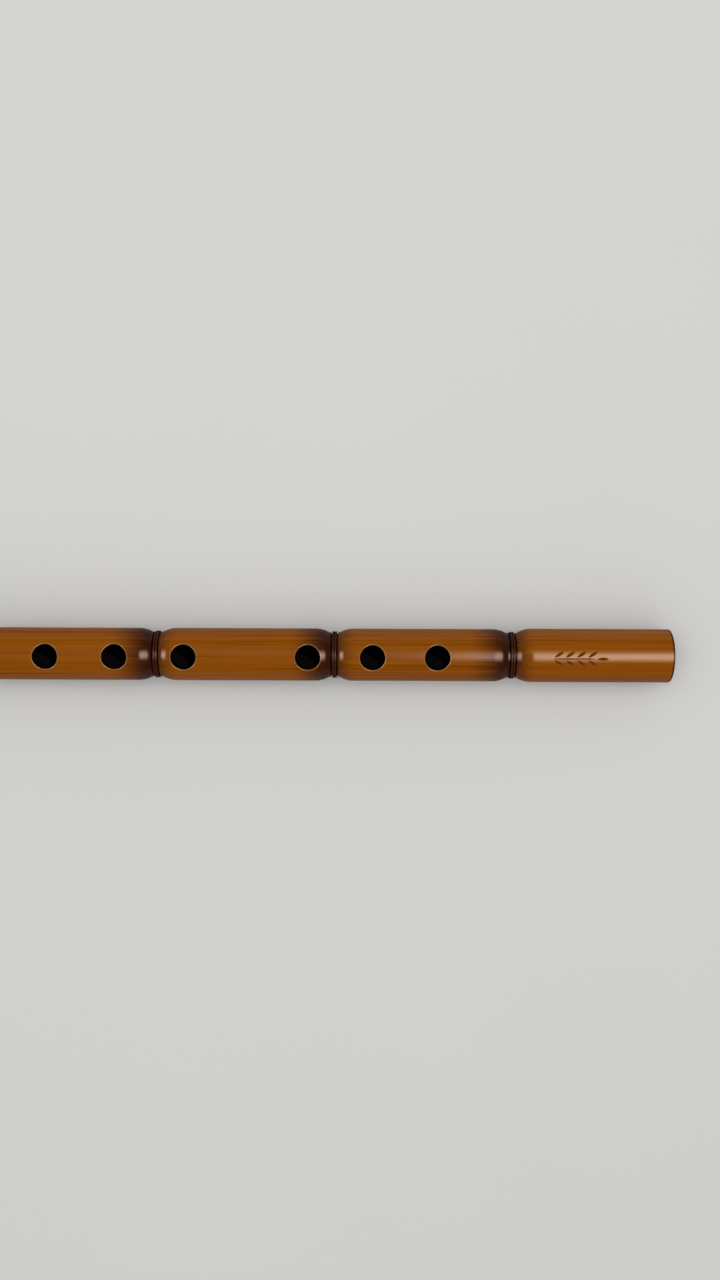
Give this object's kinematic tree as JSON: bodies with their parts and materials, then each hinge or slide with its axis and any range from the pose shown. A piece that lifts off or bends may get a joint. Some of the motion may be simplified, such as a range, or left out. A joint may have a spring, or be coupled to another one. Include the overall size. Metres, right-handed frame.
{
  "type": "end-blown cane flute",
  "caption": "Long lacquered cane flute with corded nodes, finger holes on top, a thumb hole below and a flared mouthpiece that pulls off.",
  "frame": {"origin": "centre of the foot's end face, on the bore axis", "axes": "+X along the bore and out of the foot, away from the mouthpiece; +Z out of the finger holes; +Y completes the right-handed frame; the thumb hole faces -Z"},
  "size_m": [0.7, 0.0306, 0.0306],
  "materials": {
    "cane": "burnt at the nodes and lacquered to a soft gloss",
    "cord": "twisted cord under dark lacquer",
    "ferrule": "turned and lightly tarnished",
    "thread": "waxed thread",
    "horn": "turned and polished horn"
  },
  "bodies": {
    "reed": {"cane_tube": "cane", "node_binding_1": "cord", "node_binding_2": "cord", "node_binding_3": "cord", "node_binding_4": "cord", "node_binding_5": "cord", "node_binding_6": "cord", "node_binding_7": "cord", "node_binding_8": "cord", "head_ferrule": "ferrule"},
    "lapping": {"tenon_lapping": "thread"},
    "mouthpiece": {"mouthpiece": "horn"}
  },
  "joints": [
    {"name": "mouthpiece_pull", "type": "slide", "parent": "reed", "child": "lapping", "axis": [-1, 0, 0], "range_m": [0, 0.025]},
    {"name": "mouthpiece_turn", "type": "hinge", "parent": "lapping", "child": "mouthpiece", "pos_m": [-0.678, 0, 0], "axis": [-1, 0, 0], "continuous": true}
  ]
}
